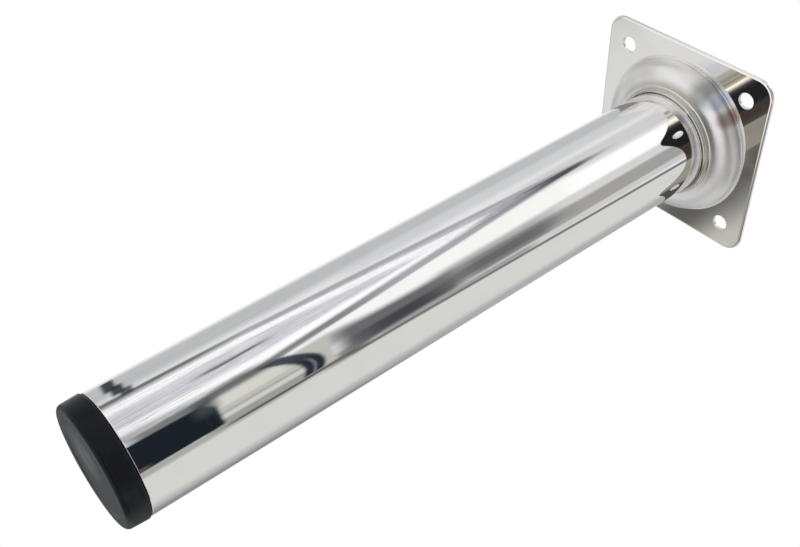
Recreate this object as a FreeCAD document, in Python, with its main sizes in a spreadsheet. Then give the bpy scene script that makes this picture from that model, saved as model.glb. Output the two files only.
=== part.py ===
import FreeCAD, Part
import math
import os
from types import SimpleNamespace

import Sketcher

# A round table leg of polished stainless tube, hung from a pressed plate, on a levelling foot.
# The origin is the centre of the plate's mounting face. The leg runs down, to negative Z.

# Driving sizes, in millimetres
SIZES = {
    # Square mounting plate, pressed from sheet
    "plate_side": 94.0,
    "plate_corner": 9.0,
    "sheet": 1.5,
    "rim_break": 0.9,
    "hole_spacing": 68.5,
    "hole_diameter": 7.5,
    # Round boss pressed into the plate, and the collar drawn out of it
    "boss_radius": 38.4,
    "boss_height": 9.9,
    "boss_round": 7.8,
    "root_bend": 0.4,
    "boss_dip": 0.4,
    "collar_bend": 0.85,
    "collar_height": 12.6,
    "lip_break": 0.4,
    "collar_fit": 0.1,
    # Tube and the weld that holds it in the collar
    "tube_radius": 25.0,
    "tube_wall": 1.0,
    "tube_foot": 303.0,
    "tube_head": 3.0,
    "tube_end_break": 0.3,
    "weld_leg": 1.3,
    "weld_gap": 0.03,
    # Ribbed plug in the tube's lower end, and the nut that it holds
    "plug_recess": 1.5,
    "plug_depth": 26.0,
    "plug_floor": 3.0,
    "plug_skirt": 1.8,
    "plug_relief": 0.7,
    "plug_fit": 0.05,
    "plug_hub_radius": 12.5,
    "plug_hub_height": 15.0,
    "plug_web": 2.0,
    "crush_rib": 1.6,
    "nut_flats": 17.0,
    "nut_thick": 8.0,
    "nut_fit": 0.1,
    # Levelling stud with a round head
    "stud_radius": 5.0,
    "stud_reach": 44.0,
    "stud_tip": 1.0,
    "stud_hole_gap": 0.5,
    "head_radius": 8.0,
    "head_thick": 2.6,
    "running_fit": 0.08,
    # Foot cap
    "foot_gap": 0.3,
    "foot_thick": 9.2,
    "foot_rim_proud": 0.55,
    "foot_sole_proud": 0.05,
    "foot_rim_break": 0.6,
    "foot_sole_break": 1.3,
    "foot_wall": 2.4,
    "foot_floor": 2.2,
    "foot_hub_wall": 3.2,
    "foot_web": 2.2,
    "sole_width": 5.0,
    "dish_depth": 0.5,
    "head_cover": 1.8,
}

WEB_COUNT = 6
CRUSH_RIB_COUNT = 8


class Size:
    """A length, kept both as a number and as the formula of sheet cells that gives it."""

    def __init__(self, number, formula):
        self.number = number
        self.formula = formula

    def __add__(self, other):
        other = as_size(other)
        return Size(self.number + other.number, f"({self.formula} + {other.formula})")

    def __sub__(self, other):
        other = as_size(other)
        return Size(self.number - other.number, f"({self.formula} - {other.formula})")

    def __mul__(self, other):
        other = as_size(other)
        return Size(self.number * other.number, f"({self.formula} * {other.formula})")

    def __truediv__(self, other):
        other = as_size(other)
        return Size(self.number / other.number, f"({self.formula} / {other.formula})")

    def __neg__(self):
        return Size(-self.number, f"(0 - {self.formula})")


def as_size(value):
    return value if isinstance(value, Size) else Size(float(value), repr(float(value)))


def size_sheet(doc):
    """Put the driving sizes in the sheet and hand them back by name."""
    sheet = doc.addObject("Spreadsheet::Sheet", "Sizes")
    for row, (name, number) in enumerate(SIZES.items(), start=1):
        sheet.set(f"A{row}", name)
        sheet.set(f"B{row}", str(number))
        sheet.setAlias(f"B{row}", name)
    doc.recompute()
    return SimpleNamespace(**{name: Size(number, f"Sizes.{name}") for name, number in SIZES.items()})


# Levels that several pieces share, measured down from the mounting face

def collar_radius(s):
    """Inner radius of the collar that grips the tube."""
    return s.tube_radius + s.collar_fit


def bore_radius(s):
    """Inner radius of the tube."""
    return s.tube_radius - s.tube_wall


def foot_top(s):
    return s.tube_foot + s.foot_gap


def sole(s):
    return foot_top(s) + s.foot_thick


def head_bottom(s):
    """Underside of the stud's head, inside the foot."""
    return sole(s) - s.foot_floor


def plug_bottom(s):
    return s.tube_foot - s.plug_recess


def nut_bottom(s):
    """Seat of the nut in the plug's hub, which it fills to the hub's top."""
    return plug_bottom(s) - s.plug_hub_height + s.nut_thick


# Drawing helpers

def new_body(doc, name):
    body = doc.addObject("PartDesign::Body", name)
    body.Label = name
    return body


def new_sketch(body, name, role, level=None):
    """A sketch on one of the body's origin planes, moved down by level when one is given."""
    plane = next(item for item in body.Origin.OriginFeatures if item.Role == role)
    sketch = body.newObject("Sketcher::SketchObject", name)
    sketch.AttachmentSupport = (plane, [""])
    sketch.MapMode = "FlatFace"
    if level is not None:
        sketch.setExpression("AttachmentOffset.Base.z", (-level).formula)
    return sketch


def hold(sketch, size, *constraint):
    """Add one constraint whose value follows a size."""
    index = sketch.addConstraint(Sketcher.Constraint(*constraint, size.number))
    sketch.setExpression(f"Constraints[{index}]", size.formula)


def line(x, y):
    """Outline step: a straight run to (x, y)."""
    return as_size(x), as_size(y)


def flats(x, y, radius, first, last, count):
    """Outline steps: short straight runs whose corners lie on an arc about (x, y), given in degrees."""
    angles = [math.radians(first + (last - first) * number / count) for number in range(1, count + 1)]
    return [line(x + radius * math.cos(angle), y + radius * math.sin(angle)) for angle in angles]


def outline(sketch, steps):
    """Draw a closed outline whose corners are all tied to sizes."""
    points = [FreeCAD.Vector(x.number, y.number, 0) for x, y in steps]
    sides = []
    for number, (x, y) in enumerate(steps):
        side = sketch.addGeometry(Part.LineSegment(points[number - 1], points[number]), False)
        sides.append(side)
        hold(sketch, x, "DistanceX", -1, 1, side, 2)
        hold(sketch, y, "DistanceY", -1, 1, side, 2)
    for before, after in zip(sides, sides[1:] + sides[:1]):
        sketch.addConstraint(Sketcher.Constraint("Coincident", before, 2, after, 1))


def box_outline(sketch, low_x, high_x, low_y, high_y):
    outline(sketch, [line(low_x, low_y), line(high_x, low_y), line(high_x, high_y), line(low_x, high_y)])


def circle(sketch, radius, x=0, y=0):
    """A circle about (x, y)."""
    x, y = as_size(x), as_size(y)
    centre = FreeCAD.Vector(x.number, y.number, 0)
    index = sketch.addGeometry(Part.Circle(centre, FreeCAD.Vector(0, 0, 1), radius.number), False)
    hold(sketch, radius, "Radius", index)
    hold(sketch, x, "DistanceX", -1, 1, index, 3)
    hold(sketch, y, "DistanceY", -1, 1, index, 3)


def hexagon(sketch, across_flats):
    """A hexagon about the axis, two of its flats facing +Y and -Y."""
    half = across_flats / 2
    across = half / math.cos(math.pi / 6)
    corners = [(across, 0), (across / 2, half), (-across / 2, half),
               (-across, 0), (-across / 2, -half), (across / 2, -half)]
    outline(sketch, [line(x, y) for x, y in corners])


def turned(body, name, sketch, kind="PartDesign::Revolution"):
    """Turn an (x, z) section about the leg's axis, or cut it away with a groove."""
    feature = body.newObject(kind, name)
    feature.Profile = sketch
    feature.ReferenceAxis = (sketch, ["V_Axis"])
    feature.Angle = 360
    return feature


def extruded(body, name, sketch, length, upwards, kind="PartDesign::Pad"):
    """Pad a sketch, or pocket it, along the leg's axis."""
    feature = body.newObject(kind, name)
    feature.Profile = sketch
    feature.Length = length.number
    feature.setExpression("Length", length.formula)
    feature.Reversed = not upwards if kind == "PartDesign::Pad" else upwards
    return feature


def dressed(body, name, base, size, chosen, kind="PartDesign::Chamfer"):
    """Chamfer (or fillet) the edges of the last feature for which chosen(edge) holds."""
    body.Document.recompute()
    names = [f"Edge{number}" for number, edge in enumerate(base.Shape.Edges, start=1) if chosen(edge)]
    feature = body.newObject(kind, name)
    feature.Base = (base, names)
    feature.setExpression("Radius" if kind == "PartDesign::Fillet" else "Size", size.formula)
    return feature


def repeated(body, name, feature, count):
    """Repeat a feature evenly round the leg's axis."""
    body.Document.recompute()
    pattern = body.newObject("PartDesign::PolarPattern", name)
    pattern.Originals = [feature]
    pattern.Axis = (feature.Profile[0], ["N_Axis"])
    pattern.Angle = 360
    pattern.Occurrences = count
    body.Tip = pattern
    return pattern


def is_circle_at(radius, level):
    """Test for a circular edge of this radius about the axis, at this depth."""
    def test(edge):
        curve = edge.Curve
        return (isinstance(curve, Part.Circle) and abs(curve.Radius - radius.number) < 1e-4
                and abs(curve.Center.z + level.number) < 1e-4)
    return test


# The pieces, each with its own function

def boss_line(s, inset):
    """One face of the pressed boss, from the flat plate in to the collar's wall.

    The front face has no inset. The back face lies one sheet behind it, so that every
    outward bend loses a sheet from its radius and every inward bend gains one. The bends
    are drawn as short flats, the same on both faces, so that the sheet keeps its thickness.
    """
    root = s.boss_radius + s.root_bend
    crest = s.boss_radius - s.boss_round
    turn = -(s.boss_height - s.boss_round)
    valley = collar_radius(s) + s.sheet + s.collar_bend
    floor = s.boss_height - s.boss_dip
    return [
        line(root, -(s.sheet - inset)),
        *flats(root, -(s.sheet + s.root_bend), s.root_bend + inset, 90, 180, 1),
        line(s.boss_radius - inset, turn),
        *flats(crest, turn, s.boss_round - inset, 0, -90, 5),
        line(valley, -(floor - inset)),
        *flats(valley, -(floor + s.collar_bend), s.collar_bend + inset, 90, 180, 2),
    ]


def mounting_plate(doc, s):
    """Square plate with a broken rim, four screw holes, and a boss drawn into a collar."""
    body = new_body(doc, "mounting_plate")
    half = s.plate_side / 2
    square = new_sketch(body, "PlateSquare", "XY_Plane")
    box_outline(square, -half, half, -half, half)
    blank = extruded(body, "Blank", square, s.sheet, upwards=False)

    def is_upright(edge):
        return abs(edge.tangentAt(edge.FirstParameter).z) > 0.9

    def is_front_rim(edge):
        return all(abs(vertex.Point.z + s.sheet.number) < 1e-4 for vertex in edge.Vertexes)

    corners = dressed(body, "PlateCorners", blank, s.plate_corner, is_upright, "PartDesign::Fillet")
    dressed(body, "PlateRim", corners, s.rim_break, is_front_rim)

    opening = new_sketch(body, "BossOpening", "XY_Plane")
    circle(opening, s.boss_radius + s.root_bend)
    extruded(body, "BossCut", opening, s.sheet * 2, upwards=False, kind="PartDesign::Pocket")

    inner = collar_radius(s)
    outer = inner + s.sheet
    lip = s.collar_height - s.lip_break
    section = new_sketch(body, "PressedSection", "XZ_Plane")
    outline(section, [
        *boss_line(s, as_size(0)),
        line(outer, -lip),
        line(outer - s.lip_break, -s.collar_height),
        line(inner + s.lip_break, -s.collar_height),
        line(inner, -lip),
        *boss_line(s, s.sheet)[::-1],
    ])
    turned(body, "PressedBoss", section)

    screw = new_sketch(body, "ScrewHole", "XY_Plane")
    circle(screw, s.hole_diameter / 2, s.hole_spacing / 2, s.hole_spacing / 2)
    hole = extruded(body, "FirstHole", screw, s.sheet * 2, upwards=False, kind="PartDesign::Pocket")
    repeated(body, "ScrewHoles", hole, 4)
    return body


def leg_tube(doc, s):
    """Polished round tube, its lower edge broken so that it isn't sharp."""
    body = new_body(doc, "leg_tube")
    ring = new_sketch(body, "TubeRing", "XY_Plane", s.tube_head)
    circle(ring, s.tube_radius)
    circle(ring, bore_radius(s))
    pipe = extruded(body, "Pipe", ring, s.tube_foot - s.tube_head, upwards=False)
    dressed(body, "EndBreak", pipe, s.tube_end_break, is_circle_at(s.tube_radius, s.tube_foot))
    return body


def weld_bead(doc, s):
    """Fillet of weld laid behind the boss, in the groove between the collar's bend and the tube."""
    body = new_body(doc, "weld_bead")
    tube_side = s.tube_radius + s.weld_gap
    valley = collar_radius(s) + s.sheet + s.collar_bend
    turn_level = -(s.boss_height - s.boss_dip + s.collar_bend)
    toe_x, toe_y = flats(valley, turn_level, s.collar_bend + s.sheet + s.weld_gap, 180, 90, 2)[0]
    section = new_sketch(body, "WeldSection", "XZ_Plane")
    outline(section, [
        line(tube_side, turn_level + s.weld_gap * 2),
        line(toe_x, toe_y),
        line(tube_side, toe_y + s.weld_leg),
    ])
    turned(body, "Weld", section)
    return body


def tube_plug(doc, s):
    """Moulded plug pressed into the tube: a skirt with crush ribs, a floor, and a webbed hub."""
    body = new_body(doc, "tube_plug")
    bottom = plug_bottom(s)
    top = bottom - s.plug_depth
    hub_top = bottom - s.plug_hub_height
    floor_top = bottom - s.plug_floor
    grip = bore_radius(s) - s.plug_fit
    outer = grip - s.plug_relief
    hole = s.stud_radius + s.stud_hole_gap
    cup = new_sketch(body, "PlugSection", "XZ_Plane")
    outline(cup, [
        line(hole, -bottom),
        line(outer, -bottom),
        line(outer, -top),
        line(outer - s.plug_skirt, -top),
        line(outer - s.plug_skirt, -floor_top),
        line(s.plug_hub_radius, -floor_top),
        line(s.plug_hub_radius, -hub_top),
        line(hole, -hub_top),
    ])
    turned(body, "PlugCup", cup)

    half_web = s.plug_web / 2
    web = new_sketch(body, "WebSection", "XY_Plane", floor_top)
    box_outline(web, s.plug_hub_radius - half_web, outer - half_web, -half_web, half_web)
    first_web = extruded(body, "FirstWeb", web, floor_top - hub_top, upwards=True)
    repeated(body, "Webs", first_web, WEB_COUNT)

    half_rib = s.crush_rib / 2
    rib = new_sketch(body, "CrushRib", "XY_Plane", bottom)
    rib_root = outer - s.plug_skirt / 2
    outline(rib, [
        line(rib_root, -half_rib),
        line(outer, -half_rib),
        line(grip, as_size(0)),
        line(outer, half_rib),
        line(rib_root, half_rib),
    ])
    first_rib = extruded(body, "FirstRib", rib, s.plug_depth, upwards=True)
    repeated(body, "CrushRibs", first_rib, CRUSH_RIB_COUNT)

    pocket = new_sketch(body, "NutPocket", "XY_Plane", hub_top)
    hexagon(pocket, s.nut_flats + s.nut_fit * 2)
    extruded(body, "NutSeat", pocket, s.nut_thick, upwards=False, kind="PartDesign::Pocket")
    return body


def hex_nut(doc, s):
    """Hexagon nut held in the plug's hub, with its corners chamfered."""
    body = new_body(doc, "hex_nut")
    bottom = nut_bottom(s)
    top = bottom - s.nut_thick
    corner = s.nut_flats / 2 / math.cos(math.pi / 6)
    slope = (corner - s.nut_flats / 2) / 2
    bore = s.stud_radius + s.running_fit
    section = new_sketch(body, "NutSection", "XZ_Plane")
    outline(section, [
        line(bore, -bottom),
        line(s.nut_flats / 2, -bottom),
        line(corner, -(bottom - slope)),
        line(corner, -(top + slope)),
        line(s.nut_flats / 2, -top),
        line(bore, -top),
    ])
    turned(body, "NutRing", section)
    cutter = new_sketch(body, "NutFlats", "XY_Plane", top)
    circle(cutter, corner * 2)
    hexagon(cutter, s.nut_flats)
    extruded(body, "FlatCuts", cutter, s.nut_thick, upwards=False, kind="PartDesign::Pocket")
    return body


def levelling_stud(doc, s):
    """Screw with a round head that the foot holds. Its thread is left plain."""
    body = new_body(doc, "levelling_stud")
    low = head_bottom(s)
    shoulder = low - s.head_thick
    tip = shoulder - s.stud_reach
    section = new_sketch(body, "StudSection", "XZ_Plane")
    outline(section, [
        line(0, -low),
        line(s.head_radius, -low),
        line(s.head_radius, -shoulder),
        line(s.stud_radius, -shoulder),
        line(s.stud_radius, -(tip + s.stud_tip)),
        line(s.stud_radius - s.stud_tip, -tip),
        line(0, -tip),
    ])
    turned(body, "Screw", section)
    return body


def foot_cap(doc, s):
    """Moulded foot, a ribbed cup with broken edges, with the stud's head held in its hub."""
    body = new_body(doc, "foot_cap")
    top = foot_top(s)
    bottom = sole(s)
    low = head_bottom(s) + s.running_fit
    head_top = head_bottom(s) - s.head_thick - s.running_fit
    hub_top = head_top - s.head_cover
    floor_top = bottom - s.foot_floor
    head_bore = s.head_radius + s.running_fit
    stud_bore = s.stud_radius + s.running_fit
    hub = head_bore + s.foot_hub_wall
    rim_radius = s.tube_radius + s.foot_rim_proud
    sole_radius = s.tube_radius + s.foot_sole_proud
    inner = sole_radius - s.foot_wall
    dish = sole_radius - s.sole_width
    section = new_sketch(body, "FootSection", "XZ_Plane")
    outline(section, [
        line(0, -(bottom - s.dish_depth)),
        line(dish - s.dish_depth, -(bottom - s.dish_depth)),
        line(dish, -bottom),
        line(sole_radius, -bottom),
        line(rim_radius, -top),
        line(inner, -top),
        line(inner, -floor_top),
        line(hub, -floor_top),
        line(hub, -hub_top),
        line(stud_bore, -hub_top),
        line(stud_bore, -head_top),
        line(head_bore, -head_top),
        line(head_bore, -low),
        line(0, -low),
    ])
    cup = turned(body, "FootCup", section)
    rim = dressed(body, "RimBreak", cup, s.foot_rim_break, is_circle_at(rim_radius, top))
    dressed(body, "SoleBreak", rim, s.foot_sole_break, is_circle_at(sole_radius, bottom))

    half_web = s.foot_web / 2
    web = new_sketch(body, "FootWeb", "XY_Plane", floor_top)
    box_outline(web, hub - half_web, inner + half_web, -half_web, half_web)
    first_web = extruded(body, "FirstFootWeb", web, floor_top - hub_top, upwards=True)
    repeated(body, "FootWebs", first_web, WEB_COUNT)
    return body


PIECES = (mounting_plate, leg_tube, weld_bead, tube_plug, hex_nut, levelling_stud, foot_cap)


def check(doc, pieces):
    """Stop before anything is written if a feature failed or a piece isn't one sound solid."""
    for item in doc.Objects:
        if "Invalid" in item.State or "Error" in item.State:
            raise RuntimeError(f"{item.Name} did not recompute")
    for piece in pieces:
        if piece.Shape.isNull() or not piece.Shape.isValid() or len(piece.Shape.Solids) != 1:
            raise RuntimeError(f"{piece.Label} is not one sound solid")


def main():
    doc = FreeCAD.newDocument("table_leg")
    s = size_sheet(doc)
    pieces = [make(doc, s) for make in PIECES]
    doc.recompute()
    check(doc, pieces)
    os.makedirs("parts", exist_ok=True)
    for piece in pieces:
        piece.Shape.exportStep(os.path.join("parts", f"{piece.Label}.step"))
        print(piece.Label, round(piece.Shape.Volume, 1), piece.Shape.BoundBox)


main()
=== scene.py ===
import math

import bmesh
import bpy
from mathutils import Matrix, Vector
from mathutils.geometry import tessellate_polygon


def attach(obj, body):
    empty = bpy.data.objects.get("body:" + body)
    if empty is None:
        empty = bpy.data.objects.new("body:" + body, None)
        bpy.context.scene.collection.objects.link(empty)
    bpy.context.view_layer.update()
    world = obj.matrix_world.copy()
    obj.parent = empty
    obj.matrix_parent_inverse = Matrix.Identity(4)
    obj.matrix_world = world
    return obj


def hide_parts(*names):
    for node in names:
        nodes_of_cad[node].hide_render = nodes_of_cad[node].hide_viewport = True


# Stainless table leg. Lengths are in millimetres here and become metres in make_mesh.

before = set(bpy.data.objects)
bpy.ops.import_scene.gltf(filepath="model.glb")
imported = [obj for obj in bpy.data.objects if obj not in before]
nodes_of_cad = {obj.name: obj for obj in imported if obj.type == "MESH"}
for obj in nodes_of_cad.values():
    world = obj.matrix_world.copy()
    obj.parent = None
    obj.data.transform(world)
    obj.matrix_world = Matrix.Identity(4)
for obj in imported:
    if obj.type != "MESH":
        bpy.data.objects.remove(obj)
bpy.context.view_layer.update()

MM = 0.001
AROUND = 256

# Plate
HALF = 47.0
CORNER = 9.0
SHEET = 1.5
RIM = 1.1
HOLE_RADIUS = 3.75
HOLE_AT = 34.25
BOSS_RADIUS = 38.4
BOSS_HEIGHT = 9.9
BOSS_ROUND = 7.8
ROOT_BEND = 0.4
BOSS_DIP = 0.4
COLLAR_BORE = 25.1
COLLAR_BEND = 0.85
COLLAR_HEIGHT = 12.6
BACK_EDGE = 0.1
HOLE_STEPS = 64
# A hole's wall from the front face to the back: how much wider than the hole, and the height
HOLE_WALL = ((0.22, -SHEET), (0.1, -SHEET + 0.04), (0.02, -SHEET + 0.14), (0, -SHEET + 0.3), (0, -0.15), (0.1, 0))
# Weld: gap to the tube, and how far its toe lies in and down from the middle of the collar's bend
WELD_GAP = 0.03
WELD_TOE = 1.68
WELD_RIPPLES = 96
# Tube, foot and stud
TUBE = 25.0
TUBE_BORE = 24.0
TUBE_TOP = -3.0
TUBE_END = -303.0
CAP_TOP = -303.3
SOLE = -312.5
CAP_RIM = 25.5
CAP_SOLE = 25.05
CAP_WEBS = 6
CAP_CLEARANCE = 0.08
HALF_WEB = 1.1
HEAD_BOTTOM = -310.3
HEAD_TOP = -307.7
HEAD_RADIUS = 8.0
NECK_RADIUS = 4.6
NECK_HEIGHT = 0.6
STUD_RADIUS = 5.0
STUD_TIP = -263.7
TIP_RADIUS = 4.0
PITCH = 1.5
# One turn of the thread: share of the pitch, and radius
THREAD = ((0.0, 4.2), (0.06, 4.14), (0.14, 4.14), (0.2, 4.2), (0.54, 4.93), (0.58, 4.98), (0.66, 4.98), (0.7, 4.93))


# Mesh helpers

def make_mesh(name, points, faces, flat_faces=()):
    """A mesh object from points in millimetres. Faces are smooth, apart from flat_faces."""
    mesh = bpy.data.meshes.new(name)
    mesh.from_pydata([Vector(p) * MM for p in points], [], list(faces) + list(flat_faces))
    smooth = [True] * len(faces) + [False] * len(flat_faces)
    mesh.polygons.foreach_set("use_smooth", smooth)
    mesh.validate()
    mesh.update()
    obj = bpy.data.objects.new(name, mesh)
    bpy.context.scene.collection.objects.link(obj)
    return obj


def arc(x, z, radius, first, last, steps):
    """Points of an arc in the (radius, height) section, angles in degrees, first point left out."""
    angles = [math.radians(first + (last - first) * n / steps) for n in range(1, steps + 1)]
    return [(x + radius * math.cos(a), z + radius * math.sin(a)) for a in angles]


def softened(corners, closed=True, steps=6, support=0.12):
    """A section whose corners (x, z, round) are rounded, with extra points beside each round."""
    count = len(corners)
    out = []
    for n, (x, z, radius) in enumerate(corners):
        here = Vector((x, z))
        if not closed and n in (0, count - 1):
            out.append((x, z))
            continue
        before = Vector(corners[n - 1][:2]) - here
        after = Vector(corners[(n + 1) % count][:2]) - here
        a, b = before.normalized(), after.normalized()
        half = a.angle(b) / 2
        reach = min(radius / math.tan(half), before.length * 0.45, after.length * 0.45)
        radius = reach * math.tan(half)
        start, end = here + a * reach, here + b * reach
        centre = here + (a + b).normalized() * (radius / math.sin(half))
        if support < before.length * 0.2:
            out.append(tuple(start + a * support))
        first = start - centre
        turn = first.angle_signed(end - centre) * -1
        for k in range(steps + 1):
            spin = turn * k / steps
            out.append((centre.x + first.x * math.cos(spin) - first.y * math.sin(spin),
                        centre.y + first.x * math.sin(spin) + first.y * math.cos(spin)))
        if support < after.length * 0.2:
            out.append(tuple(end + b * support))
    return out


def lathe(section, around=AROUND, closed=True):
    """Points and faces of a section (x, z) turned about the leg's axis. x = 0 makes a pole."""
    on_axis = 1e-6
    points, rings = [], []
    for x, z in section:
        if x < on_axis:
            rings.append([len(points)])
            points.append((0, 0, z))
            continue
        rings.append(list(range(len(points), len(points) + around)))
        points += [(x * math.cos(math.tau * k / around), x * math.sin(math.tau * k / around), z)
                   for k in range(around)]
    faces = []
    pairs = list(zip(rings, rings[1:]))
    if closed:
        pairs.append((rings[-1], rings[0]))
    for low, high in pairs:
        if len(low) == len(high) == 1:
            continue
        for k in range(around):
            j = (k + 1) % around
            corner = [low[k % len(low)], low[j % len(low)], high[j % len(high)], high[k % len(high)]]
            faces.append(tuple(dict.fromkeys(corner)))
    return points, faces


def outward(obj):
    """Turn all the faces to look out of the solid."""
    mesh = bmesh.new()
    mesh.from_mesh(obj.data)
    bmesh.ops.remove_doubles(mesh, verts=mesh.verts, dist=1e-7)
    bmesh.ops.recalc_face_normals(mesh, faces=mesh.faces)
    mesh.to_mesh(obj.data)
    mesh.free()
    return obj


def boxes(points, faces, count, low, high):
    """Add count radial boxes, from low to high corner, evenly round the axis."""
    for n in range(count):
        spin = Matrix.Rotation(math.tau * n / count, 3, "Z")
        base = len(points)
        for x in (low[0], high[0]):
            for y in (low[1], high[1]):
                for z in (low[2], high[2]):
                    points.append(tuple(spin @ Vector((x, y, z))))
        for quad in ((0, 1, 3, 2), (4, 6, 7, 5), (0, 4, 5, 1), (2, 3, 7, 6), (0, 2, 6, 4), (1, 5, 7, 3)):
            faces.append(tuple(base + k for k in quad))


# Pieces

def boss_section():
    """Closed section of the pressed boss and its collar, front face first, from the plate in."""
    root = BOSS_RADIUS + ROOT_BEND
    crest = BOSS_RADIUS - BOSS_ROUND
    turn = -(BOSS_HEIGHT - BOSS_ROUND)
    wall = COLLAR_BORE + SHEET
    valley = wall + COLLAR_BEND
    floor = -(BOSS_HEIGHT - BOSS_DIP)
    lip = SHEET / 2
    waves = 8

    def face(inset, steps):
        line = [(root, -(SHEET - inset))]
        line += arc(root, -(SHEET + ROOT_BEND), ROOT_BEND + inset, 90, 180, 6)
        line += arc(crest, turn, BOSS_ROUND - inset, 0, -90, steps)
        for n in range(1, waves + 1):
            share = n / waves
            dip = BOSS_DIP * (1 - math.cos(math.pi * share)) / 2
            line.append((crest + (valley - crest) * share, -(BOSS_HEIGHT - inset) + dip))
        line += arc(valley, floor - COLLAR_BEND, COLLAR_BEND + inset, 90, 180, 8)
        return line

    front = face(0, 24)
    lip_turn = arc(COLLAR_BORE + lip, -(COLLAR_HEIGHT - lip), lip, 0, -180, 12)
    return front + [(wall, -(COLLAR_HEIGHT - lip))] + lip_turn + face(SHEET, 14)[::-1]


def square_ring(inset, z, steps=12):
    """The plate's outline, drawn in by inset."""
    radius = CORNER - inset
    middle = HALF - CORNER
    ring = []
    for turn, (sx, sy) in enumerate(((1, 1), (-1, 1), (-1, -1), (1, -1))):
        for k in range(steps + 1):
            angle = math.radians(90 * (turn + k / steps))
            ring.append((sx * middle + radius * math.cos(angle), sy * middle + radius * math.sin(angle), z))
    return ring


def circle_ring(x, y, radius, z, around):
    return [(x + radius * math.cos(math.tau * k / around), y + radius * math.sin(math.tau * k / around), z)
            for k in range(around)]


def mounting_plate():
    """The pressed boss and collar, the plate's rim, its holes and its two flat faces."""
    points, faces = lathe(boss_section())
    flat_faces = []

    def skin(rings):
        """Join rings of equal length."""
        base = len(points)
        size = len(rings[0])
        for ring in rings:
            points.extend(ring)
        for n in range(len(rings) - 1):
            for k in range(size):
                j = (k + 1) % size
                low, high = base + n * size, base + (n + 1) * size
                faces.append((low + k, low + j, high + j, high + k))

    rim_steps = 12
    edge = [square_ring(RIM, -SHEET)]
    for n in range(1, rim_steps + 1):
        angle = math.pi / 2 * n / rim_steps
        edge.append(square_ring(RIM * (1 - math.sin(angle)), -SHEET + RIM * (1 - math.cos(angle))))
    edge += [square_ring(0, -0.2), square_ring(0.02, -0.08), square_ring(BACK_EDGE, 0)]
    skin(edge)
    holes = [(sx * HOLE_AT, sy * HOLE_AT) for sx in (1, -1) for sy in (1, -1)]
    for x, y in holes:
        skin([circle_ring(x, y, HOLE_RADIUS + wide, z, HOLE_STEPS) for wide, z in HOLE_WALL])
    root = BOSS_RADIUS + ROOT_BEND
    for z, inset, wide in ((-SHEET, RIM, HOLE_WALL[0][0]), (0, BACK_EDGE, HOLE_WALL[-1][0])):
        loops = [square_ring(inset, z), circle_ring(0, 0, root, z, AROUND)]
        loops += [circle_ring(x, y, HOLE_RADIUS + wide, z, HOLE_STEPS) for x, y in holes]
        base = len(points)
        for loop in loops:
            points.extend(loop)
        for tri in tessellate_polygon([[Vector(p) for p in loop] for loop in loops]):
            flat_faces.append(tuple(base + k for k in tri))
    return outward(make_mesh("plate_smooth", points, faces, flat_faces))


def leg_tube():
    section = softened([
        (TUBE_BORE, TUBE_TOP, 0.1), (TUBE, TUBE_TOP, 0.2),
        (TUBE, TUBE_END, 0.35), (TUBE_BORE, TUBE_END, 0.12)], steps=8, support=0.3)
    return outward(make_mesh("tube_smooth", *lathe(section, 384)))


def weld_bead():
    """Ripples of weld in the groove behind the boss."""
    around, across = 720, 8
    centre = (COLLAR_BORE + SHEET + COLLAR_BEND, -(BOSS_HEIGHT - BOSS_DIP + COLLAR_BEND))
    toe = (centre[0] - WELD_TOE, centre[1] + WELD_TOE)
    root = (TUBE + WELD_GAP, centre[1] + 0.1)
    top = (TUBE + WELD_GAP, toe[1] + 1.2)
    points, faces = [], []
    for k in range(around):
        angle = math.tau * k / around
        phase = (k * WELD_RIPPLES / around) % 1
        ripple = 0.11 * math.sin(math.pi * phase) ** 0.6 + 0.05 * math.sin(angle * 7 + 1) * math.sin(angle * 3)
        ring = [root]
        for n in range(across + 1):
            share = n / across
            bow = math.sin(math.pi * share) * (0.18 + ripple)
            ring.append((toe[0] + (top[0] - toe[0]) * share + bow * 0.72,
                         toe[1] + (top[1] - toe[1]) * share + bow * 0.7))
        points += [(x * math.cos(angle), x * math.sin(angle), z) for x, z in ring]
    size = across + 2
    for k in range(around):
        j = (k + 1) % around
        for n in range(size):
            m = (n + 1) % size
            faces.append((k * size + n, k * size + m, j * size + m, j * size + n))
    return outward(make_mesh("weld_ripples", points, faces))


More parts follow.
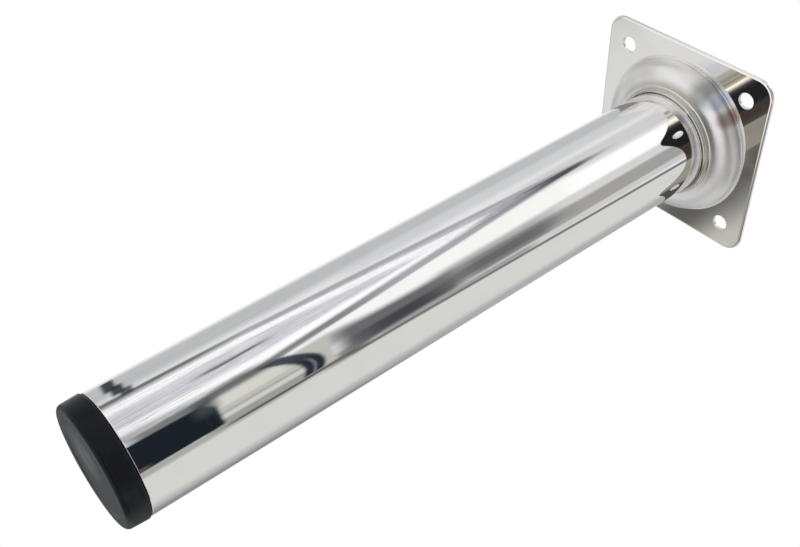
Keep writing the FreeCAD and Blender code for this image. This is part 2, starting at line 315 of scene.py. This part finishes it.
def levelling_stud():
    """Screw with a cut thread. The rows follow the helix, so that its crests stay crisp."""
    around = 72
    start = HEAD_TOP - PITCH
    lowest = HEAD_TOP + 0.4
    turns = int((STUD_TIP - start) / PITCH) + 2
    points, faces, rings = [], [], []
    for position, radius in [(turn + share, radius) for turn in range(turns) for share, radius in THREAD]:
        rings.append(len(points))
        for k in range(around):
            share = k / around
            z = min(max(start + (position + share) * PITCH, lowest), STUD_TIP)
            cut = min(radius, TIP_RADIUS + STUD_TIP - z)
            points.append((cut * math.cos(math.tau * share), cut * math.sin(math.tau * share), z))
    for low, high in zip(rings, rings[1:]):
        for k in range(around - 1):
            faces.append((low + k, low + k + 1, high + k + 1, high + k))
    per_turn = len(THREAD)
    for row in range(len(rings) - per_turn - 1):
        seam, after = rings[row] + around - 1, rings[row + 1] + around - 1
        faces.append((seam, rings[row + per_turn], rings[row + 1 + per_turn], after))
    neck = HEAD_TOP + NECK_HEIGHT
    head = softened([(0, HEAD_BOTTOM, 0), (HEAD_RADIUS, HEAD_BOTTOM, 0.4), (HEAD_RADIUS, HEAD_TOP, 0.4),
                     (NECK_RADIUS, HEAD_TOP, 0.3), (NECK_RADIUS, neck, 0.1), (0, neck, 0)], closed=False)
    base = len(points)
    head_points, head_faces = lathe(head, 96, closed=False)
    points += head_points
    faces += [tuple(base + k for k in face) for face in head_faces]
    base = len(points)
    points += circle_ring(0, 0, TIP_RADIUS, STUD_TIP, around)
    return outward(make_mesh("stud_thread", points, faces, [tuple(range(base, base + around))]))


def foot_cap():
    """Open cap with webs round a hub, which holds the stud's head."""
    inner, hub = 22.65, 11.28
    head, neck = HEAD_RADIUS + CAP_CLEARANCE, STUD_RADIUS + CAP_CLEARANCE
    head_low, head_high = HEAD_BOTTOM - CAP_CLEARANCE, HEAD_TOP + CAP_CLEARANCE
    floor, hub_top, dish = SOLE + 2.2, CAP_TOP - 2.44, SOLE + 0.5
    section = softened([
        (0, dish, 0), (18.5, dish, 1.2), (20.4, SOLE, 1.2), (CAP_SOLE, SOLE, 2.0),
        (CAP_RIM, CAP_TOP, 0.75), (inner, CAP_TOP, 0.3), (inner, floor, 0.4), (hub, floor, 0.4),
        (hub, hub_top, 0.4), (neck, hub_top, 0.3), (neck, head_high, 0.1),
        (head, head_high, 0.1), (head, head_low, 0.1), (0, head_low, 0)], closed=False, steps=8)
    points, faces = lathe(section, closed=False)
    flat_faces = []
    boxes(points, flat_faces, CAP_WEBS, (hub - 1, -HALF_WEB, floor - 0.2), (inner + 1, HALF_WEB, hub_top - 0.01))
    return outward(make_mesh("cap_moulded", points, faces, flat_faces))


# Node helpers

class Tree:
    """Short ways to add nodes and to link them."""

    def __init__(self, tree):
        self.nodes = tree.nodes
        self.links = tree.links
        self.nodes.clear()

    def add(self, kind, **settings):
        node = self.nodes.new(kind)
        for key, value in settings.items():
            setattr(node, key, value)
        return node

    def feed(self, socket, value):
        if isinstance(value, bpy.types.NodeSocket):
            self.links.new(value, socket)
        elif value is not None:
            socket.default_value = value

    def math(self, operation, *values, clamp=False):
        node = self.add("ShaderNodeMath", operation=operation, use_clamp=clamp)
        for socket, value in zip(node.inputs, values):
            self.feed(socket, value)
        return node.outputs[0]

    def ramp_between(self, value, low, high):
        """0 at low, 1 at high, with a soft S between them."""
        node = self.add("ShaderNodeMapRange", interpolation_type="SMOOTHSTEP")
        for socket, number in zip(node.inputs, (value, low, high, 0.0, 1.0)):
            self.feed(socket, number)
        return node.outputs[0]

    def split(self, vector):
        node = self.add("ShaderNodeSeparateXYZ")
        self.feed(node.inputs[0], vector)
        return node.outputs

    def far_from(self, x, y, middle_x=0.0, middle_y=0.0):
        """Distance of (x, y) from a point, which is the leg's axis unless given."""
        dx, dy = self.math("SUBTRACT", x, middle_x), self.math("SUBTRACT", y, middle_y)
        return self.math("SQRT", self.math("ADD", self.math("MULTIPLY", dx, dx), self.math("MULTIPLY", dy, dy)))

    def mix(self, share, under, over):
        """Mix of two colours. Inputs 6 and 7 and output 2 are the Mix node's colour sockets."""
        node = self.add("ShaderNodeMix", data_type="RGBA")
        self.feed(node.inputs[0], share)
        self.feed(node.inputs[6], under)
        self.feed(node.inputs[7], over)
        return node.outputs[2]

    def noise(self, vector, scale, detail=2.0, roughness=0.5):
        node = self.add("ShaderNodeTexNoise")
        self.feed(node.inputs["Vector"], vector)
        self.feed(node.inputs["Scale"], scale)
        self.feed(node.inputs["Detail"], detail)
        self.feed(node.inputs["Roughness"], roughness)
        return node.outputs[0]

    def stretched(self, vector, scale):
        node = self.add("ShaderNodeMapping")
        self.feed(node.inputs["Vector"], vector)
        node.inputs["Scale"].default_value = scale
        return node.outputs[0]

    def bump(self, height, strength, distance, normal=None):
        node = self.add("ShaderNodeBump")
        self.feed(node.inputs["Strength"], strength)
        self.feed(node.inputs["Distance"], distance)
        self.feed(node.inputs["Height"], height)
        self.feed(node.inputs["Normal"], normal)
        return node.outputs[0]

    def background(self, colour, strength=1.0):
        node = self.add("ShaderNodeBackground")
        self.feed(node.inputs["Color"], colour)
        self.feed(node.inputs["Strength"], strength)
        return node.outputs[0]

    def mix_shaders(self, share, under, over):
        node = self.add("ShaderNodeMixShader")
        for socket, value in zip(node.inputs, (share, under, over)):
            self.feed(socket, value)
        return node.outputs[0]


def grey(level, warm=0.0):
    """A grey of this strength, warmer for a positive warm. A pair gives red and blue their own shares."""
    red, blue = warm if isinstance(warm, tuple) else (warm, -warm)
    return (level * (1 + red), level, level * (1 + blue), 1.0)


def new_material(name):
    material = bpy.data.materials.new(name)
    material.use_nodes = True
    tree = Tree(material.node_tree)
    out = tree.add("ShaderNodeOutputMaterial")
    shader = tree.add("ShaderNodeBsdfPrincipled")
    tree.links.new(shader.outputs[0], out.inputs[0])
    return material, tree, shader


def steel(name, light, dark, rough, grain, wave, drawn=None, dull_within=None):
    """Polished steel: a slow wave in the surface, a fine grain along it and faint smudges.

    Drawn is the colour of its drawn lines. Nearer the axis than dull_within, in metres, it is left dull.
    """
    material, tree, shader = new_material(name)
    place = tree.add("ShaderNodeTexCoord").outputs["Object"]
    smudge = tree.noise(place, 45.0, 5.0, 0.6)
    lines = tree.noise(tree.stretched(place, (50, 50, 0.4)), 34.0, 3.0, 0.65)
    slow = tree.noise(place, 16.0, 1.0, 0.4)
    colour = tree.mix(tree.ramp_between(smudge, 0.35, 0.75), light, dark)
    metallic = 1.0
    if drawn is not None:
        patches = tree.ramp_between(tree.noise(place, 14.0, 2.0, 0.5), 0.40, 0.62)
        colour = tree.mix(tree.math("MULTIPLY", tree.ramp_between(lines, 0.50, 0.66), patches), colour, drawn)
    uneven = tree.math("MULTIPLY_ADD", tree.ramp_between(smudge, 0.45, 0.8), rough * 0.8, rough)
    uneven = tree.math("MULTIPLY_ADD", lines, rough * 0.3, uneven)
    if dull_within is not None:
        x, y, _ = tree.split(place)
        dull = tree.ramp_between(tree.far_from(x, y), dull_within, dull_within - 0.0003)
        colour = tree.mix(dull, colour, tree.mix(smudge, grey(0.50), grey(0.34)))
        metallic = tree.math("SUBTRACT", 1.0, tree.math("MULTIPLY", dull, 0.6))
        uneven = tree.math("MULTIPLY_ADD", dull, 0.45, uneven)
    tree.feed(shader.inputs["Base Color"], colour)
    tree.feed(shader.inputs["Metallic"], metallic)
    tree.feed(shader.inputs["Roughness"], uneven)
    waved = tree.bump(slow, wave, 0.0006)
    tree.feed(shader.inputs["Normal"], tree.bump(lines, grain, 0.00002, waved))
    return material


COLLAR_TINT = (0.62, 0.60, 0.56, 1)
# Patches on the boss. The dark, the grey and the pale ones are painted reflection and shade. The blue and the brown
# one are the weld's heat tint and painted reflection both. x, y and reach in millimetres, then the colour
HEAT_TINT_AND_REFLECTION_PATCHES = (
    (15.5, -31.5, 9.0, (0.42, 0.43, 0.43, 1)),
    (22.5, -30.6, 5.5, (0.66, 0.70, 0.82, 1)),
    (29.5, -24.0, 5.5, (0.50, 0.38, 0.34, 1)),
    (-14.0, 33.0, 9.0, (0.60, 0.60, 0.57, 1)),
    (-33.0, -8.0, 8.0, (0.82, 0.82, 0.80, 1)),
)


def pressed_steel():
    """The plate's steel: a soft mirror where it is flat, and satin where it was drawn into the boss, with patches of
    painted reflection and shade on the boss.
    """
    material, tree, shader = new_material("plate_steel")
    place = tree.add("ShaderNodeTexCoord").outputs["Object"]
    x, y, _ = tree.split(place)
    away = tree.far_from(x, y)
    drawn = tree.math("MULTIPLY", tree.ramp_between(away, 0.0399, 0.0394), tree.ramp_between(away, 0.0268, 0.0276))
    smudge = tree.noise(place, 38.0, 5.0, 0.6)
    grain = tree.noise(place, 900.0, 3.0, 0.6)
    slow = tree.noise(place, 22.0, 1.0, 0.4)
    flat_colour = tree.mix(tree.ramp_between(smudge, 0.35, 0.75), grey(0.86, 0.006), grey(0.82, 0.01))
    flat_colour = tree.mix(tree.ramp_between(away, 0.0278, 0.0268), flat_colour, COLLAR_TINT)
    satin_and_painted_patches = tree.mix(tree.ramp_between(tree.noise(place, 26.0, 3.0, 0.5), 0.38, 0.66), grey(0.94), grey(0.74, 0.01))
    # Painted reflection and shade laid over the satin boss as patches, two of them also the weld's heat tint
    for across, along, reach, tint in HEAT_TINT_AND_REFLECTION_PATCHES:
        near = tree.ramp_between(tree.far_from(x, y, across * MM, along * MM), reach * MM, reach * MM * 0.25)
        satin_and_painted_patches = tree.mix(near, satin_and_painted_patches, tint)
    tree.feed(shader.inputs["Base Color"], tree.mix(drawn, flat_colour, satin_and_painted_patches))
    shader.inputs["Metallic"].default_value = 1.0
    rough = tree.math("MULTIPLY_ADD", drawn, 0.40, 0.05)
    tree.feed(shader.inputs["Roughness"], tree.math("MULTIPLY_ADD", tree.ramp_between(smudge, 0.45, 0.8), 0.05, rough))
    waved = tree.bump(slow, 0.25, 0.0006)
    tree.feed(shader.inputs["Normal"], tree.bump(grain, tree.math("MULTIPLY_ADD", drawn, 0.10, 0.02), 0.00002, waved))
    return material


# The painted gleam on the sole, a painted highlight: its middle, outer and inner reach, in millimetres
GLEAM_X, GLEAM_Y, GLEAM_REACH, GLEAM_CORE = -3.5, -3.8, 14.5, 1.0


def plastic(name, colour, rough, gloss, sole_gleam_colour=None):
    """Moulded plastic with a fine texture and light scuffs. The last argument is the colour of a painted highlight, a
    paler gleam in the middle of the sole.
    """
    material, tree, shader = new_material(name)
    place = tree.add("ShaderNodeTexCoord").outputs["Object"]
    pores = tree.noise(place, 1400.0, 2.0, 0.5)
    scuffs = tree.noise(place, 90.0, 6.0, 0.7)
    worn = tuple(min(1.0, c * 1.9 + 0.004) for c in colour[:3]) + (1.0,)
    shade = tree.mix(tree.ramp_between(scuffs, 0.5, 0.8), colour, worn)
    if sole_gleam_colour is not None:
        # Painted highlight: a paler gleam in the middle of the sole, broken up by the scuff noise
        x, y, z = tree.split(place)
        away = tree.far_from(x, y, GLEAM_X * MM, GLEAM_Y * MM)
        painted_gleam = tree.math("MULTIPLY", tree.ramp_between(away, GLEAM_REACH * MM, GLEAM_CORE * MM),
                         tree.ramp_between(z, (SOLE + 1.2) * MM, (SOLE + 0.8) * MM))
        shade = tree.mix(tree.math("MULTIPLY", painted_gleam, tree.ramp_between(scuffs, 0.2, 0.6)), shade, sole_gleam_colour)
    tree.feed(shader.inputs["Base Color"], shade)
    tree.feed(shader.inputs["Roughness"], tree.math("MULTIPLY_ADD", scuffs, 0.16, rough - 0.08))
    shader.inputs["Specular IOR Level"].default_value = gloss
    tree.feed(shader.inputs["Normal"], tree.bump(pores, 0.25, 0.00003))
    return material


# The studio, as polished metal sees it

# Each panel hangs on a wall round the leg, over the panels before it. Azimuths are in degrees from
# the photo's side, and heights are the slope of the ray. A panel that is higher than OPEN_ABOVE has
# no upper edge, and one that reaches ALL_ROUND has no side edge. The tint is as in grey().
ALL_ROUND = 190
OPEN_ABOVE = 2.0
PANELS = (
    # name, left and right at the foot, at the top, low and high, soft edges, grey, tint, opacity
    ("left wall", (-147, -94), (-147, -94), (0.0, 3.0), (24, 0.03), 0.57, -0.012, 1.0),
    ("left fold", (-104, -76), (-104, -76), (0.46, 3.0), (16, 0.06), 0.70, -0.01, 0.9),
    ("left haze", (-66, -36), (-66, -36), (0.70, 3.0), (12, 0.05), 0.66, 0.0, 0.8),
    ("window foot", (-6, -3), (-22, 8), (0.33, 0.56), (7, 0.02), 1.06, (0.0, -0.02), 1.0),
    ("window", (-22, 11), (-35, 8), (0.54, 0.78), (8, 0.02), 1.06, (0.0, -0.03), 1.0),
    ("window shade", (4, 30), (4, 30), (0.54, 0.78), (12, 0.03), 0.52, 0.005, 1.0),
    ("window head", (-30, 1), (-30, 1), (0.76, 3.0), (9, 0.03), 1.16, 0.008, 1.0),
    ("window curtain", (3, 22), (3, 22), (0.72, 3.0), (5, 0.04), 0.75, 0.01, 1.0),
    ("right wall", (50, 132), (66, 132), (0.10, 1.0), (4, 0.03), 0.75, (0.0, -0.05), 1.0),
    ("right wall head", (66, 132), (66, 132), (1.0, 3.0), (4, 0.03), 0.75, 0.0, 1.0),
    ("right shade", (122, 176), (122, 176), (0.0, 3.0), (30, 0.03), 0.46, -0.01, 1.0),
    ("right low shade", (136, 178), (144, 178), (0.0, 0.48), (18, 0.12), 0.26, -0.01, 0.85),
    ("tent foot", (-93, -11), (-83, -2), (0.10, 0.337), (5, 0.01), 0.48, -0.01, 1.0),
    ("tent foot dark", (-90, -82), (-84, -78), (0.10, 0.30), (5, 0.05), 0.10, 0.0, 0.8),
    ("tent foot inside", (-76, -23), (-72, -14.3), (0.10, 0.340), (9, 0.01), 1.14, 0.0, 1.0),
    ("tent foot cloth", (-58, -34), (-61.5, -27), (0.10, 0.345), (8, 0.01), 0.68, (0.015, 0.07), 0.95),
    ("tent side", (-83, -2), (-51, -42), (0.325, 0.80), (5, 0.01), 0.44, (0.01, 0.08), 1.0),
    ("tent side dark", (-13, -3), (-24, -13), (0.26, 0.46), (5, 0.06), 0.20, 0.0, 0.75),
    ("tent inside", (-73.5, -11.5), (-46, -43.5), (0.315, 0.65), (8, 0.02), 1.16, 0.0, 1.0),
    ("tent cloth", (-62.4, -27.3), (-42.5, -39.5), (0.315, 0.54), (7, 0.03), 0.68, (0.015, 0.07), 0.95),
    ("tent top", (-51, -38), (-49, -42), (0.69, 0.82), (5, 0.05), 0.06, -0.14, 0.92),
    ("tent top fold", (-44, -33), (-47, -38), (0.62, 0.73), (6, 0.03), 0.28, -0.05, 0.7),
    ("tent seam", (-47.5, -41.5), (-47.5, -41.5), (0.262, 0.340), (3.5, 0.02), 0.08, -0.14, 0.95),
    ("cloth haze", (-2, 22), (4, 22), (0.385, 0.445), (12, 0.03), 0.32, 0.0, 0.75),
    ("cloth foot", (6.5, 50.5), (12, 49), (0.408, 0.57), (11, 0.018), 0.160, (0.02, 0.06), 1.0),
    ("cloth", (12, 47), (17, 46), (0.56, 0.74), (9, 0.05), 0.25, 0.0, 1.0),
    ("cloth head", (19, 46), (19, 46), (0.72, 3.0), (7, 0.03), 0.40, 0.015, 1.0),
    ("cloth core", (26, 44), (27, 43), (0.435, 0.555), (7, 0.045), 0.055, (0.02, 0.16), 0.9),
    ("cloth core head", (22, 38), (22, 38), (0.55, 0.72), (8, 0.06), 0.145, 0.0, 0.85),
    ("right curtain", (47, 56), (48, 59), (0.66, 3.0), (5, 0.10), 0.66, 0.02, 0.95),
    ("right curtain foot", (48, 54), (48.5, 56), (0.455, 0.68), (4, 0.02), 0.36, 0.01, 0.9),
    ("right low wall", (46, 57), (46, 57), (0.0, 0.36), (8, 0.04), 0.42, (0.0, -0.04), 0.95),
    ("post foot", (47.4, 53.2), (47.8, 54.0), (0.262, 0.43), (3, 0.02), 0.080, 0.01, 0.95),
    ("post haze", (40, 58), (40, 58), (0.378, 0.432), (8, 0.02), 0.18, 0.0, 0.75),
    ("post", (51, 56.5), (62.7, 68), (0.41, 1.0), (4, 0.02), 0.13, 0.01, 0.92),
    ("low wall", (1, 48), (1, 48), (0.235, 0.398), (6, 0.006), 0.58, (0.0, -0.09), 1.0),
    ("low wall light", (4, 20), (4, 20), (0.235, 0.345), (6, 0.01), 0.77, (0.0, -0.08), 0.9),
    ("low wall dusk", (28, 49), (28, 49), (0.24, 0.370), (5, 0.004), 0.36, (0.0, -0.10), 0.9),
    ("low wall gleam", (30.5, 38.5), (30.5, 38.5), (0.24, 0.370), (4, 0.01), 0.72, -0.01, 0.9),
    ("low post", (-10, 1), (-10, 1), (0.17, 0.34), (5, 0.02), 0.15, 0.0, 0.9),
    ("table", (-6, 46.5), (0, 46.5), (-0.2, 0.251), (3, 0.004), 0.018, -0.30, 1.0),
    ("table top", (0, 46.5), (13, 46), (0.247, 0.262), (5, 0.003), 0.018, -0.30, 1.0),
    ("table sheen", (-6, 18), (-6, 18), (0.240, 0.264), (16, 0.009), 0.070, -0.14, 0.85),
    ("table spot", (40, 46), (40, 46), (0.150, 0.178), (4, 0.008), 0.12, (0.60, -0.30), 0.7),
    ("table rim", (-146, -108), (-146, -108), (0.175, 0.188), (8, 0.003), 0.04, -0.20, 0.95),
    ("table rim rise", (-116, -92), (-116, -92), (0.181, 0.194), (8, 0.003), 0.04, -0.20, 0.95),
    ("table rim end", (-99, -83), (-99, -83), (0.188, 0.201), (8, 0.003), 0.05, -0.15, 0.90),
)

# The same for rays that go down, which the plate and the sole reflect
LOW_PANELS = (
    ("floor tone", (-190, 190), (-190, 190), (-4.0, 0.0), (1, 0.06), 0.70, 0.0, 0.7),
    ("under below", (-190, 190), (-190, 190), (-99, -1.46), (1, 0.05), 1.12, 0.0, 1.0),
    ("sole screen", (146, 190), (146, 190), (-0.28, 0.02), (26, 0.14), 0.135, (-0.22, 0.20), 0.9),
    ("sole screen left", (-190, -146), (-190, -146), (-0.28, 0.02), (26, 0.14), 0.135, (-0.22, 0.20), 0.9),
    ("low screen left", (-102, -74), (-102, -74), (-0.66, 0.10), (14, 0.05), 0.14, 0.0, 1.0),
    ("low screen right", (74, 100), (74, 100), (-0.66, 0.10), (14, 0.05), 0.12, 0.0, 1.0),
    ("low screen front", (-30, -14), (-30, -14), (-0.66, 0.10), (10, 0.05), 0.20, 0.0, 1.0),
    ("under back", (-190, -166), (-190, -166), (-4.0, -0.25), (5, 0.03), 0.79, (0.0, -0.02), 1.0),
    ("under left", (-172, -112), (-172, -112), (-1.4, -1.0), (16, 0.03), 0.86, 0.01, 1.0),
    ("under left shade", (-168, -118), (-168, -118), (-1.02, -0.70), (12, 0.03), 0.30, 0.01, 1.0),
    ("under bright", (-106, -20), (-106, -20), (-1.02, -0.25), (16, 0.03), 0.95, (0.02, -0.08), 1.0),
    ("under cream", (-68, -22), (-68, -22), (-1.4, -1.0), (8, 0.03), 0.50, (0.03, -0.22), 1.0),
    ("under streak left", (-54, -46), (-54, -46), (-1.4, -0.75), (5, 0.03), 0.32, (0.03, -0.22), 0.8),
    ("under streak right", (-42, -36), (-42, -36), (-1.4, -0.75), (4, 0.03), 0.26, (0.03, -0.22), 0.7),
    ("under gold", (-31, -25), (-31, -25), (-1.4, -0.75), (3, 0.03), 1.30, (0.08, -0.20), 0.95),
    ("under dark", (-21, 68), (-21, 68), (-1.4, -0.42), (5, 0.05), 0.075, (0.10, -0.12), 1.0),
    ("under navy", (-14, 32), (-14, 32), (-1.4, -0.42), (10, 0.05), 0.020, -0.10, 1.0),
    ("under brown", (32, 56), (32, 56), (-1.4, -0.42), (8, 0.05), 0.046, (0.42, -0.16), 0.9),
    ("under right", (68, 190), (68, 190), (-1.4, -1.02), (6, 0.03), 0.33, (0.06, -0.20), 1.0),
    ("under right near", (68, 112), (68, 112), (-1.02, -0.50), (6, 0.03), 0.38, (0.06, -0.18), 1.0),
    ("under right shade", (112, 168), (112, 168), (-1.0, -0.66), (14, 0.04), 0.09, (0.04, -0.08), 1.0),
    ("under right light", (167, 174), (167, 174), (-1.06, -0.70), (3, 0.03), 0.60, (0.02, -0.08), 1.0),
    ("under right streak", (173, 177), (173, 177), (-1.08, -0.70), (3, 0.02), 0.09, (0.04, -0.14), 0.95),
)


def wall_panel(tree, azimuth, height, foot, top, reach, edges, opacity):
    """Opacity of one panel at this place on the wall."""
    low, high = reach
    soft, rise = edges
    shares = []
    for side in (0, 1):
        away, edge = azimuth, foot[side]
        if abs(edge) >= ALL_ROUND:
            continue
        if foot[side] != top[side]:
            slope = (top[side] - foot[side]) / (high - low)
            away, edge = tree.math("MULTIPLY_ADD", height, -slope, azimuth), foot[side] - slope * low
        inner = soft / 2 if side == 0 else -soft / 2
        shares.append(tree.ramp_between(away, edge - inner, edge + inner))
    shares.append(tree.ramp_between(height, low - rise, low + rise))
    if high < OPEN_ABOVE:
        shares.append(tree.ramp_between(height, high + rise, high - rise))
    share = shares[0]
    for part in shares[1:]:
        share = tree.math("MULTIPLY", part, share)
    return share if opacity == 1 else tree.math("MULTIPLY", share, opacity)


def painted(tree, azimuth, height, panels):
    """Pale wall with these panels, each over the ones before it."""
    colour = grey(0.89)
    for _, foot, top, reach, edges, level, tint, opacity in panels:
        share = wall_panel(tree, azimuth, height, foot, top, reach, edges, opacity)
        colour = tree.mix(share, colour, grey(level, tint))
    return colour


# The arch over the table: azimuth of its middle, height of its crown, and fall for each square degree
ARCH_MIDDLE, ARCH_CROWN, ARCH_FALL = 34.0, 0.3725, -0.0000285


def with_arch(tree, azimuth, height, colour):
    """The wall's colour with the dark arch over the table, and the thin glint along it."""
    bow = tree.math("SUBTRACT", azimuth, ARCH_MIDDLE)
    crown = tree.math("MULTIPLY_ADD", tree.math("MULTIPLY", bow, bow), ARCH_FALL, ARCH_CROWN)
    off = tree.math("ABSOLUTE", tree.math("SUBTRACT", height, crown))
    ends = tree.math("MULTIPLY", tree.ramp_between(azimuth, -9, -3), tree.ramp_between(azimuth, 50, 46))
    line = tree.math("MULTIPLY", tree.ramp_between(off, 0.0160, 0.0095), ends)
    dark = tree.mix(tree.ramp_between(azimuth, 0, 30), grey(0.075, -0.2), grey(0.026, -0.25))
    colour = tree.mix(line, colour, dark)
    glint = tree.math("MULTIPLY", tree.ramp_between(off, 0.0030, 0.0008), tree.ramp_between(azimuth, 14, 28))
    return tree.mix(tree.math("MULTIPLY", glint, line), colour, grey(0.20, -0.15))


# Where the folds of the tent's cloth spread from
TENT_MIDDLE, TENT_TOP = -46.0, 0.9


def with_folds(tree, azimuth, height, colour):
    """The wall's colour with the dark and the lit folds of the tent's cloth."""
    below_top = tree.math("MAXIMUM", tree.math("SUBTRACT", TENT_TOP, height), 0.1)
    noise = tree.add("ShaderNodeTexNoise", noise_dimensions="1D")
    tree.feed(noise.inputs["W"], tree.math("DIVIDE", tree.math("SUBTRACT", azimuth, TENT_MIDDLE), below_top))
    noise.inputs["Scale"].default_value = 0.55
    noise.inputs["Detail"].default_value = 4.0
    noise.inputs["Roughness"].default_value = 0.7
    folds = noise.outputs[0]
    inside = wall_panel(tree, azimuth, height, (-74, -17), (-47, -44), (0.14, 0.66), (8, 0.04), 0.72)
    creased = tree.math("MULTIPLY", tree.ramp_between(folds, 0.50, 0.60), inside)
    colour = tree.mix(creased, colour, grey(0.36, (0.02, 0.18)))
    whole = wall_panel(tree, azimuth, height, (-82, -6), (-50, -43), (0.20, 0.72), (5, 0.06), 0.70)
    lit = tree.math("MULTIPLY", tree.ramp_between(folds, 0.47, 0.41), whole)
    return tree.mix(lit, colour, grey(1.08, (0.0, 0.03)))


def studio(camera_azimuth):
    """White to the camera, the painted set to mirror rays, and a plain pale light to the rest."""
    world = bpy.data.worlds.new("studio")
    bpy.context.scene.world = world
    world.use_nodes = True
    tree = Tree(world.node_tree)
    out = tree.add("ShaderNodeOutputWorld")
    ray = tree.add("ShaderNodeTexCoord").outputs["Generated"]
    turn = tree.add("ShaderNodeVectorRotate", rotation_type="Z_AXIS")
    tree.feed(turn.inputs["Vector"], ray)
    turn.inputs["Angle"].default_value = -camera_azimuth
    x, y, z = tree.split(turn.outputs[0])
    azimuth = tree.math("DEGREES", tree.math("ARCTAN2", y, x))
    height = tree.math("DIVIDE", z, tree.math("MAXIMUM", tree.far_from(x, y), 0.001))
    colour = with_arch(tree, azimuth, height, painted(tree, azimuth, height, PANELS))
    high_side = tree.background(with_folds(tree, azimuth, height, colour))
    low_side = tree.background(painted(tree, azimuth, height, LOW_PANELS))
    painted_set = tree.mix_shaders(tree.ramp_between(height, 0.0, 0.06), low_side, high_side)
    path = tree.add("ShaderNodeLightPath")
    shown = tree.math("ADD", path.outputs["Is Camera Ray"], path.outputs["Is Transmission Ray"], clamp=True)
    light = tree.mix_shaders(path.outputs["Is Glossy Ray"], tree.background(grey(0.9), 0.75), painted_set)
    tree.links.new(tree.mix_shaders(shown, light, tree.background(grey(1.0))), out.inputs[0])


def lay_floor():
    """Pale floor just below the foot at its lowest. It fades out into the white round it.

    It is open from below, where the camera stands.
    """
    side, z = 1500.0, -328.0
    fade_from, fade_to = 0.35, 1.2
    obj = make_mesh("floor", [(-side, -side, z), (side, -side, z), (side, side, z), (-side, side, z)], [(0, 1, 2, 3)])
    material, tree, shader = new_material("pale_floor")
    out = next(node for node in tree.nodes if node.bl_idname == "ShaderNodeOutputMaterial")
    place = tree.add("ShaderNodeTexCoord").outputs["Object"]
    tree.feed(shader.inputs["Base Color"], tree.mix(tree.noise(place, 3.0), grey(0.84), grey(0.80)))
    shader.inputs["Roughness"].default_value = 0.7
    clear = tree.add("ShaderNodeBsdfTransparent").outputs[0]
    x, y, _ = tree.split(place)
    fading = tree.ramp_between(tree.far_from(x, y), fade_from, fade_to)
    from_below = tree.add("ShaderNodeNewGeometry").outputs["Backfacing"]
    faded = tree.mix_shaders(tree.math("MAXIMUM", fading, from_below), shader.outputs[0], clear)
    tree.links.new(faded, out.inputs[0])
    obj.data.materials.append(material)
    obj.visible_glossy = False


LAMP_AIM = Vector((0, 0, -0.15))


def lamp(name, place, size, watts):
    data = bpy.data.lights.new(name, "AREA")
    data.size = size
    data.energy = watts
    obj = bpy.data.objects.new(name, data)
    obj.location = place
    obj.rotation_euler = (LAMP_AIM - Vector(place)).to_track_quat("-Z", "Y").to_euler()
    bpy.context.scene.collection.objects.link(obj)
    obj.visible_glossy = False
    obj.visible_camera = False


PHOTO_WIDTH, PHOTO_HEIGHT = 800.0, 547.0
SENSOR = 36.0


def photo_camera():
    """The camera found from the photo: rows of its rotation, its place, lens and shift. Gives its azimuth."""
    right = Vector((0.6379537, 0.0286967, 0.7695399))
    down = Vector((0.5118303, 0.7308348, -0.4515641))
    ahead = Vector((-0.5753649, 0.6819508, 0.4515509))
    place = Vector((0.250986, -0.284964, -0.362359))
    focal, centre_x, centre_y = 1033.8, 415.6, 305.5
    data = bpy.data.cameras.new("photo_camera")
    data.sensor_width = SENSOR
    data.lens = focal * SENSOR / PHOTO_WIDTH
    data.shift_x = (PHOTO_WIDTH / 2 - centre_x) / PHOTO_WIDTH
    data.shift_y = (centre_y - PHOTO_HEIGHT / 2) / PHOTO_WIDTH
    data.clip_start = 0.01
    obj = bpy.data.objects.new("photo_camera", data)
    turn = Matrix((right, -down, -ahead)).transposed().to_4x4()
    obj.matrix_world = Matrix.Translation(place) @ turn
    bpy.context.scene.collection.objects.link(obj)
    bpy.context.scene.camera = obj
    return math.atan2(place.y, place.x)


bpy.context.scene.view_settings.view_transform = "Standard"

studio(photo_camera())
lay_floor()
lamp("key_lamp", (0.7, -0.5, 0.5), 0.6, 4.5)
lamp("fill_lamp", (-0.6, -0.7, 0.2), 0.8, 2.5)

plate_steel = pressed_steel()
tube_steel = steel("tube_steel", grey(0.88, -0.002), grey(0.85), 0.018, 0.22, 0.03, (0.76, 0.74, 0.79, 1), 0.0247)
weld_steel = steel("weld_steel", (0.50, 0.47, 0.42, 1), (0.30, 0.27, 0.30, 1), 0.35, 0.4, 0.5)
zinc = steel("zinc", (0.66, 0.67, 0.68, 1), (0.52, 0.53, 0.52, 1), 0.26, 0.3, 0.3)
plug_plastic = plastic("plug_plastic", (0.035, 0.035, 0.038, 1), 0.5, 0.5)
# The last colour is the painted highlight in the middle of the sole
foot_plastic = plastic("foot_plastic", (0.0056, 0.0066, 0.0104, 1), 0.34, 0.14, (0.17, 0.21, 0.22, 1))

for make, node, body, material, slot in (
        (mounting_plate, "mounting_plate", "leg", plate_steel, "plate_steel"),
        (leg_tube, "leg_tube", "leg", tube_steel, "tube_steel"),
        (weld_bead, "weld_bead", "leg", weld_steel, "weld_steel"),
        (levelling_stud, "levelling_stud", "stud", zinc, "stud_steel"),
        (foot_cap, "foot_cap", "foot", foot_plastic, "foot_plastic")):
    piece = make()
    piece.data.materials.append(material)
    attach(piece, body)
    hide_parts(node)
for node, material in (("tube_plug", plug_plastic), ("hex_nut", zinc)):
    nodes_of_cad[node].material_slots[0].material = material
